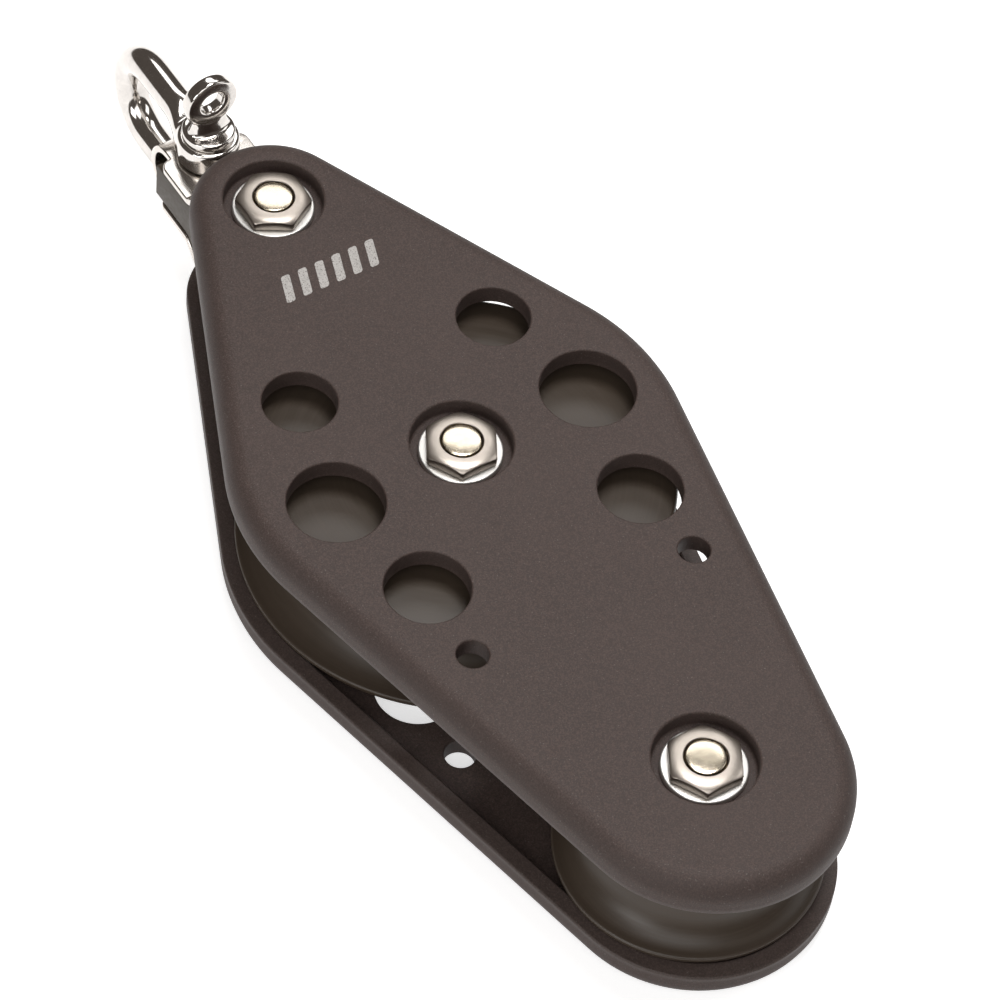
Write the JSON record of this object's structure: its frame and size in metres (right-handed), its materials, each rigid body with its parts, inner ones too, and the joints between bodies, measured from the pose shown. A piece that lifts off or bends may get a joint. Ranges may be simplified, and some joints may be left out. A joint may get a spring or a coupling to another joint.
{
  "type": "fiddle block",
  "caption": "Sailing fiddle block with a large and a small rope sheave in line between moulded cheek plates, through-bolted, with a screw-pin D shackle on a folded steel head strap.",
  "frame": {"origin": "centre of the block's overall outline, on the plane of the lower cheek's outer face", "axes": "+Z along the sheave axles, from the bolt heads to the nuts; +Y toward the shackle; +X across the cheeks"},
  "size_m": [0.0876, 0.2355, 0.0457],
  "materials": {
    "cheek_plastic": "matte, fine grained glass-filled nylon, dark warm grey",
    "sheave_plastic": "satin, smooth, dark olive brown",
    "bearing_plastic": "smooth natural acetal",
    "brushed_steel": "brushed stainless steel",
    "washer_steel": "bright stainless steel",
    "polished_steel": "polished stainless steel"
  },
  "bodies": {
    "block": {"head_block": "sheave_plastic", "head_bolt": "brushed_steel", "head_bolt_washer": "washer_steel", "head_nut": "brushed_steel", "head_nut_washer": "washer_steel", "head_strap": "polished_steel", "lower_cheek": "cheek_plastic", "main_bolt": "brushed_steel", "main_bolt_washer": "washer_steel", "main_lower_thrust_washer": "bearing_plastic", "main_nut": "brushed_steel", "main_nut_washer": "washer_steel", "main_sleeve": "brushed_steel", "main_upper_thrust_washer": "bearing_plastic", "tail_bolt": "brushed_steel", "tail_bolt_washer": "washer_steel", "tail_lower_thrust_washer": "bearing_plastic", "tail_nut": "brushed_steel", "tail_nut_washer": "washer_steel", "tail_sleeve": "brushed_steel", "tail_upper_thrust_washer": "bearing_plastic", "upper_cheek": "cheek_plastic"},
    "main_sheave": {"main_sheave": "sheave_plastic", "main_bush": "bearing_plastic"},
    "tail_sheave": {"tail_sheave": "sheave_plastic", "tail_bush": "bearing_plastic"},
    "shackle": {"shackle_bow": "polished_steel"},
    "shackle_pin": {"shackle_pin": "polished_steel"}
  },
  "joints": [
    {"name": "main_sheave_spin", "type": "hinge", "parent": "block", "child": "main_sheave", "pos_m": [0, -0.00895, 0.018], "axis": [0, 0, 1], "continuous": true},
    {"name": "tail_sheave_spin", "type": "hinge", "parent": "block", "child": "tail_sheave", "pos_m": [0, -0.08975, 0.018], "axis": [0, 0, 1], "continuous": true},
    {"name": "shackle_swing", "type": "hinge", "parent": "block", "child": "shackle", "pos_m": [0, 0.08365, 0.018], "axis": [0, 0, 1], "range_deg": [-100, 100]},
    {"name": "shackle_pin_draw", "type": "slide", "parent": "shackle", "child": "shackle_pin", "axis": [0, 0, 1], "range_m": [0, 0.028]}
  ]
}
